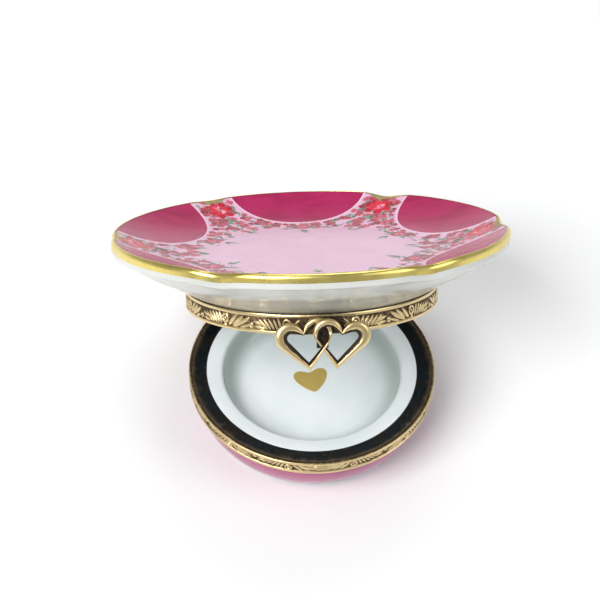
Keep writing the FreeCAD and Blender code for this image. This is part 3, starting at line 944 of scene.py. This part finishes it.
# ---- the mounts ----
def leaf_height(u, v, base, tip, width, vein=0.35):
    """The height of an embossed leaf over a field: 1 along its spine, 0 outside it."""
    dx = tip[0] - base[0]
    dy = tip[1] - base[1]
    length = hypot(dx, dy)
    along = ((u - base[0]) * dx + (v - base[1]) * dy) / length ** 2
    away = np.abs((v - base[1]) * dx - (u - base[0]) * dy) / length
    inside = np.clip(along, 0, 1)
    half = width * np.sin(pi * inside ** 0.8) ** 0.7 + 1e-6
    dome = np.clip(1 - (away / half) ** 2, 0, 1)
    groove = 1 - vein * np.exp(-(away / (0.22 * width)) ** 2)
    return np.where((along > 0) & (along < 1), np.sqrt(dome) * groove, 0)


def ring_height(u, v, centre, radius, width):
    distance = np.hypot(u - centre[0], v - centre[1])
    return np.sqrt(np.clip(1 - ((distance - radius) / width) ** 2, 0, 1))


# rows of embossed leaves: how many, the first one's foot and tip as (u, v, u, v), how much further on the
# next one's are, width, and height
LEAF_ROWS = (
    (5, (-0.85, -0.92, -1.55, 0.95), (-0.62, 0, -0.86, -0.10), 0.27, 1),
    (2, (-3.9, -0.80, -5.95, -0.55), (-0.35, 0.55, 0, 0.75), 0.27, 1),
    (3, (0.75, -0.90, 2.55, 0.90), (1.05, 0.15, 1.30, -0.12), 0.36, 1),
    (2, (1.75, -0.95, 3.85, -0.30), (1.40, 0, 1.50, -0.10), 0.25, 0.9),
)


def foliage(u, v):
    """Embossed height, 0 to 1, of one repeat, where u runs from -6 to 6 along the band and v from -1 to 1
    across it: a scroll in the middle, narrow acanthus strokes fanning out on its left and broad leaves
    lying flatter on its right."""
    parts = [
        ring_height(u, v, (0, 0.10), 0.58, 0.20),
        ring_height(u, v, (0, 0.10), 0.0, 0.25),
        0.9 * ring_height(u, v, (-0.1, -0.95), 0.0, 0.38),
    ]
    for count, first, step, width, rise in LEAF_ROWS:
        for i in range(count):
            u0, v0, u1, v1 = (start + i * further for start, further in zip(first, step))
            parts.append(rise * leaf_height(u, v, (u0, v0), (u1, v1), width))
    parts.append(0.9 * ring_height(u, v, (5.55, -0.45), 0.26, 0.17))
    return np.maximum.reduce(parts)


def make_band(name, node, meeting, far, body, repeats=12):
    """An embossed ring: plain rubbed borders and foliage on a dark ground between them."""
    side = 1 if far > meeting else -1
    segments = 1560
    angles = full_turn(segments)
    inner = MOUNT_R - BAND_WALL
    ground = MOUNT_R - RELIEF
    low = meeting + side * (BORDER + 0.02)
    high = far - side * BORDER
    rows = [(inner + 0.02, meeting, 0.02), (inner + 0.2, meeting, 0.12)]
    for a in np.linspace(0, pi / 2, 5):
        edge = 0.2 - 0.2 * cos(a)
        rows.append((MOUNT_R - 0.2 + 0.2 * sin(a), meeting + side * edge, 0.30 + 0.68 * sin(a)))
    rows += [(MOUNT_R, meeting + side * 0.38, 0.95), (MOUNT_R - 0.02, meeting + side * (BORDER - 0.03), 0.8)]
    field = len(rows)
    steps = 21
    for z in np.linspace(low + side * 0.06, high - side * 0.06, steps):
        rows.append((ground, z, 0.0))
    rows += [(MOUNT_R - 0.02, high + side * 0.03, 0.8), (MOUNT_R, high + side * 0.12, 0.95)]
    rows += [(MOUNT_R, far - side * 0.12, 0.95), (MOUNT_R - 0.05, far, 0.7), (inner, far, 0.2)]
    r, z, shade = columns(rows, segments)
    scale = abs(high - low) / 2
    repeat = 2 * pi / repeats
    middle = (low + high) / 2
    from_front = (angles + pi / 2 + pi) % (2 * pi) - pi
    u = -(np.abs(from_front) % repeat / repeat - 0.5) * 12
    v = (z[field:field + steps] - middle) / scale * side
    raised = foliage(np.broadcast_to(u, v.shape), v)
    r[field:field + steps] += raised * (RELIEF - 0.03)
    shade[field:field + steps] = np.maximum(raised, 0.22)
    # the lid band is darker about the clasp: painted shade under the hearts, as well as darker patina
    if body == "lid":
        shade = shade - 0.38 * np.exp(-((from_front + 0.10) / 0.26) ** 2)
    build = Build()
    order = slice(None) if side < 0 else slice(None, None, -1)
    ring_grid(build, r[order], z[order], angles, 0, True, shade[order])
    build.piece(name, body, [BAND_BRASS], "antique_brass", [node], 60)


def make_collar(name, node, body):
    outer = MOUNT_R - BAND_WALL + 0.015
    if body == "lid":
        face = MEETING_GAP + COLLAR_SET_BACK
        back = face + COLLAR_T
        profile = [(outer, back), (COLLAR_IN_R, back), (COLLAR_IN_R, face + 0.15)]
        profile += arc(COLLAR_IN_R + 0.15, face + 0.15, 0.15, 0.15, 180, 270, 5)
        profile += [(18.6, face), (19.4, face), (outer, face)]
        shades = [0.3, 0.3, 0.6] + [0.75] * 6 + [0.3, 0.25, 0.5]
    else:
        top = -MEETING_GAP
        bottom = top - COLLAR_FALL - COLLAR_T
        edge = top - COLLAR_FALL - 0.15
        profile = [(outer, bottom), (outer, top - 0.05)]
        profile += [(19.7, top - 0.11), (19.0, top - 0.20), (18.3, top - 0.27)]
        profile += arc(COLLAR_IN_R + 0.15, edge, 0.15, 0.13, 90, 180, 5)
        profile += [(COLLAR_IN_R, bottom)]
        shades = [0.3, 0.75, 0.42, 0.2, 0.15] + [0.35] * 6 + [0.2]
    build = Build()
    lathe(build, profile[::-1], 256, 0, True, shades[::-1])
    build.piece(name, body, [DARK_BRASS], "dark_brass", [node])


def make_cement(name, node, body, z0, z1):
    outer = MOUNT_R - BAND_WALL + 0.01
    inner = outer - CEMENT
    build = Build()
    lathe(build, [(inner, z0), (outer, z0), (outer, z1), (inner, z1)], 256, 0)
    build.piece(name, body, [PLASTER], "cement", [node])


# ---- the hinge ----
def knuckle_start(index):
    return (index - 2) * (KNUCKLE_L + KNUCKLE_GAP) - KNUCKLE_L / 2


def along_hinge(verts):
    """Turns a shape made about Z to lie along the hinge axis."""
    verts = np.asarray(verts, float)
    return np.stack([verts[..., 2], HINGE[1] + verts[..., 0], HINGE_Z + verts[..., 1]], -1)


def make_knuckle(name, node, index, bore, body):
    start = knuckle_start(index)
    end = start + KNUCKLE_L
    soft = 0.12
    profile = [(bore, start), (BARREL_R - soft, start)]
    profile += arc(BARREL_R - soft, start + soft, soft, soft, -90, 0, 4)[1:]
    profile += arc(BARREL_R - soft, end - soft, soft, soft, 0, 90, 4)
    profile += [(bore, end)]
    shades = [0.25 if z < start + 0.05 or z > end - 0.05 else 0.85 for _, z in profile]
    build = Build()
    lathe(build, profile, 64, 0, True, shades)
    build.verts = [along_hinge(v) for v in build.verts]
    build.piece(name, body, [HINGE_BRASS], "hinge_brass", [node])


def make_pin():
    start = knuckle_start(0)
    end = knuckle_start(4) + KNUCKLE_L
    head = 0.28
    big = PIN_R + 0.22
    profile = [(0.02, start - head)] + arc(big - 0.18, start - head + 0.18, 0.18, 0.18, -90, 0, 5)
    profile += [(big, start - 0.01), (PIN_R, start - 0.01), (PIN_R, end + 0.01), (big, end + 0.01)]
    profile += arc(big - 0.18, end + head - 0.18, 0.18, 0.18, 0, 90, 5) + [(0.02, end + head)]
    build = Build()
    lathe(build, profile, 48, 0, True, 0.8)
    build.verts = [along_hinge(v) for v in build.verts]
    build.piece("hinge_pin_wire", "base", [HINGE_BRASS], "hinge_brass", ["hinge_pin"])


# ---- the clasp ----
def touching_angle(height, centre, r, side):
    """Where a straight line from (0, height) touches a circle."""
    dx = -centre[0]
    dz = height - centre[1]
    return atan2(dz, dx) + side * acos(min(1.0, r / hypot(dx, dz)))


def half_heart(centre, r, notch, tip, steps):
    """Points from a heart's notch, over its lobe and straight down to its tip, evenly spaced."""
    first = touching_angle(notch, centre, r, -1)
    last = touching_angle(tip, centre, r, 1)
    while first < last:
        first += 2 * pi

    def on_lobe(a):
        return centre[0] + r * cos(a), centre[1] + r * sin(a)

    begin = on_lobe(first)
    end = on_lobe(last)
    rise = dist((0, notch), begin)
    bend = (first - last) * r
    fall = dist(end, (0, tip))
    points = []
    for i in range(steps + 1):
        s = (rise + bend + fall) * i / steps
        if s < rise:
            k = s / rise
            points.append((begin[0] * k, notch + (begin[1] - notch) * k))
        elif s < rise + bend:
            points.append(on_lobe(first - (s - rise) / r))
        else:
            k = (s - rise - bend) / fall
            points.append((end[0] * (1 - k), end[1] + (tip - end[1]) * k))
    return points


def ramp(stations, f):
    """A smooth run through (place, value) pairs."""
    for (f0, v0), (f1, v1) in zip(stations, stations[1:]):
        if f <= f1:
            k = (f - f0) / (f1 - f0)
            return v0 + (v1 - v0) * k * k * (3 - 2 * k)
    return stations[-1][1]


# the heart's section: (place from the inner edge to the outer one, depth towards the viewer, rubbed)
HEART_SECTION = [
    (0.00, -0.42, 0.05), (0.00, -0.10, 0.05), (0.06, 0.10, 0.08), (0.22, 0.28, 0.12), (0.36, 0.42, 0.45),
    (0.47, 0.49, 1.0), (0.58, 0.50, 0.95), (0.74, 0.46, 1.0), (0.88, 0.34, 0.95), (0.97, 0.14, 0.9),
    (1.00, -0.10, 0.7), (1.00, -0.42, 0.4), (0.90, -0.50, 0.2), (0.10, -0.50, 0.1),
]


def make_heart(side, name, node):
    """side is -1 for the left heart and 1 for the right one. The half that faces the other heart passes
    behind it at the top and in front lower down, or the other way about on the right heart."""
    steps = 80
    lobe = (HEART_LOBE_X, HEART_TOP - HEART_LOBE_R)
    notch = lobe[1] + sqrt(HEART_LOBE_R ** 2 - HEART_LOBE_X ** 2)
    outer = half_heart(lobe, HEART_LOBE_R, notch, HEART_TIP, steps)
    openings = []
    for x, z, r in (NARROW_OPENING, WIDE_OPENING):
        openings.append(half_heart((x, z), r, notch - NOTCH_DROP, HEART_TIP + TIP_DROP, steps))
    crossing = [(0, -0.6), (0.15, -1), (0.47, -1), (0.62, 1), (0.80, 1), (1, 0.5)]
    clear = [(0, -0.6), (0.5, 0), (1, 0.5)]
    stations = [(i, openings[0], -side, ramp(crossing, i / steps)) for i in range(steps)]
    stations += [(i, openings[1], side, ramp(clear, i / steps)) for i in range(steps, 0, -1)]
    lean = -side * HEART_TILT
    middle_y = -(BACKPLATE_Y + HEART_STAND_OFF + HEART_SWELL * HEART_T + HEART_WEAVE)
    rows = []
    shades = []
    for i, opening, way, weave in stations:
        for across, depth, rubbed in HEART_SECTION:
            x = way * (outer[i][0] * across + opening[i][0] * (1 - across))
            z = outer[i][1] * across + opening[i][1] * (1 - across)
            (x, z), = turn([(x, z)], lean, side * HEART_X, HEART_Z)
            rows.append((x, middle_y + side * weave * HEART_WEAVE - HEART_T * depth, z))
            shades.append(rubbed)
    build = Build()
    faces = grid_faces(len(stations), len(HEART_SECTION), True, True)
    if side > 0:
        faces = [tuple(reversed(f)) for f in faces]
    build.add(rows, faces, 0, shades)
    heart = build.piece(name, "lid", [HEART_BRASS], "antique_brass", [node], 60)
    rounding = heart.modifiers.new("rounding", "SUBSURF")
    rounding.levels = 1
    rounding.render_levels = 1


def make_catch_ridge():
    """The small ridge that the tongue's bead snaps under, worn bright, on its pad of solder."""
    ground = MOUNT_R - RELIEF
    section = [(-1.85, ground), (-1.72, MOUNT_R - 0.03), (-1.62, MOUNT_R + 0.03)]
    for a in np.linspace(0.4, 2.7, 7):
        section.append((CATCH_Z - 0.16 * cos(a), CATCH_R - 0.16 + 0.155 * sin(a)))
    section += [(-0.88, MOUNT_R + 0.03), (-0.78, MOUNT_R - 0.03), (-0.65, ground)]
    half = 1.45 / MOUNT_R
    angles = np.linspace(-half, half, 33)
    rows = []
    inner = []
    for a in angles:
        taper = sqrt(max(0.0, 1 - (a / half) ** 4))
        for z, r in section:
            reach = ground + (r - ground) * taper
            height = CATCH_Z + (z - CATCH_Z) * (0.35 + 0.65 * taper)
            rows.append((reach * sin(a), -reach * cos(a), height))
            inner.append(((ground - 0.1) * sin(a), -(ground - 0.1) * cos(a), z))
    faces = closed_grid(len(angles), len(section))
    build = Build()
    build.add(rows + inner, [tuple(reversed(f)) for f in faces], 0, 0.8)
    build.piece("catch_bead", "base", [BAND_BRASS], "antique_brass", ["catch_ridge"], 50)


def dress_cad_nodes():
    """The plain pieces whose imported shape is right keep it, in a better metal."""
    metals = {
        "base_hinge_leaf": LEAF_BRASS,
        "lid_hinge_leaf": LEAF_BRASS,
        "clasp_backplate": DULL_BRASS,
        "clasp_tongue": DULL_BRASS,
    }
    for node, metal in metals.items():
        for slot in frame["nodes"][node].material_slots:
            slot.link = "OBJECT"
            slot.material = metal


# ---- stage ----
def soft_light(name, place, target, size, power):
    data = bpy.data.lights.new(name, "AREA")
    data.shape = "RECTANGLE"
    data.size, data.size_y = size
    data.energy = power
    lamp = bpy.data.objects.new(name, data)
    bpy.context.scene.collection.objects.link(lamp)
    lamp.location = place
    lamp.rotation_euler = (Vector(target) - Vector(place)).to_track_quat("-Z", "Y").to_euler()


TABLE_A = (0.92, 0.92, 0.92, 1)
TABLE_B = (0.94, 0.94, 0.94, 1)
SKY_LOW = (0.74, 0.76, 0.78, 1)
SKY_HIGH = (0.30, 0.31, 0.33, 1)


def make_stage():
    mesh = bpy.data.meshes.new("table")
    half = 1.2
    corners = [(-half, -half, 0), (half, -half, 0), (half, half, 0), (-half, half, 0)]
    mesh.from_pydata(corners, [], [(0, 1, 2, 3)])
    n = Nodes(bpy.data.materials.new("pale_table"))
    n.set(Base_Color=n.mix(n.noise(60, 2), TABLE_A, TABLE_B), Roughness=0.8)
    mesh.materials.append(n.owner)
    table = bpy.data.objects.new("table", mesh)
    bpy.context.scene.collection.objects.link(table)
    middle = (0, 0, 0.02)
    soft_light("key", (-0.28, -0.26, 0.42), middle, (0.34, 0.34), 2.9)
    soft_light("fill", (0.40, -0.20, 0.34), middle, (0.34, 0.34), 0.8)
    soft_light("back", (0.05, 0.30, 0.50), middle, (0.40, 0.25), 1.2)
    make_sky()
    bpy.context.scene.view_settings.view_transform = "Standard"


def make_sky():
    """A pale surround, brightest near the table and dimmer overhead."""
    n = Nodes(bpy.data.worlds.new("studio"), "Background")
    direction = n.node("ShaderNodeTexCoord", "Generated", {})
    height = n.node("ShaderNodeSeparateXYZ", "Z", {0: direction})
    rise = n.node("ShaderNodeMapRange", "Result", {"Value": height, "From Min": 0.0, "From Max": 0.75})
    n.set(Color=n.mix(rise, SKY_LOW, SKY_HIGH), Strength=0.58)
    bpy.context.scene.world = n.owner


def make_camera():
    azimuth = radians(-5.2)
    elevation = radians(47.35)
    roll = radians(1.45)
    distance = 270.8
    aside = -2.29
    above = 11.05
    level = cos(elevation)
    back = Vector((sin(azimuth) * level, -cos(azimuth) * level, sin(elevation)))
    right = Vector((cos(azimuth), sin(azimuth), 0))
    up = back.cross(right)
    target = Vector((0, 0, CLOSING_Z)) + right * aside + up * above
    data = bpy.data.cameras.new("camera")
    data.lens = 96.0
    data.sensor_width = 36.0
    data.clip_start = 0.01
    camera = bpy.data.objects.new("camera", data)
    bpy.context.scene.collection.objects.link(camera)
    across = right * cos(roll) + up * sin(roll)
    upright = up * cos(roll) - right * sin(roll)
    turn_to = Matrix((across, upright, back)).transposed().to_4x4()
    camera.matrix_world = Matrix.Translation((target + back * distance) * MM) @ turn_to
    bpy.context.scene.camera = camera


make_plate()
make_gilt_rim()
make_cartouches()
make_cartouche_lines()
make_rim_line()
make_cusp_gilding()
make_garland()
make_bowl()
make_floor_heart()
make_band("base_band_embossed", "base_band", -MEETING_GAP, -BASE_BAND_H, "base")
make_band("lid_band_embossed", "lid_band", MEETING_GAP, LID_BAND_H, "lid")
make_collar("base_flange", "base_collar", "base")
make_collar("lid_flange", "lid_collar", "lid")
make_cement("bowl_cement_ring", "bowl_cement", "base", -BASE_BAND_H, SHELF)
make_cement("lid_cement_ring", "lid_cement", "lid", SEAT, LID_BAND_H)
for place, index in (("left", 0), ("centre", 2), ("right", 4)):
    make_knuckle("hinge_tube_" + place, "base_knuckle_" + place, index, PIN_R, "base")
for place, index in (("left", 1), ("right", 3)):
    make_knuckle("lid_tube_" + place, "lid_knuckle_" + place, index, PIN_R + RUNNING, "lid")
make_pin()
make_heart(-1, "left_heart", "clasp_left_heart")
make_heart(1, "right_heart", "clasp_right_heart")
make_catch_ridge()
dress_cad_nodes()
make_stage()
make_camera()
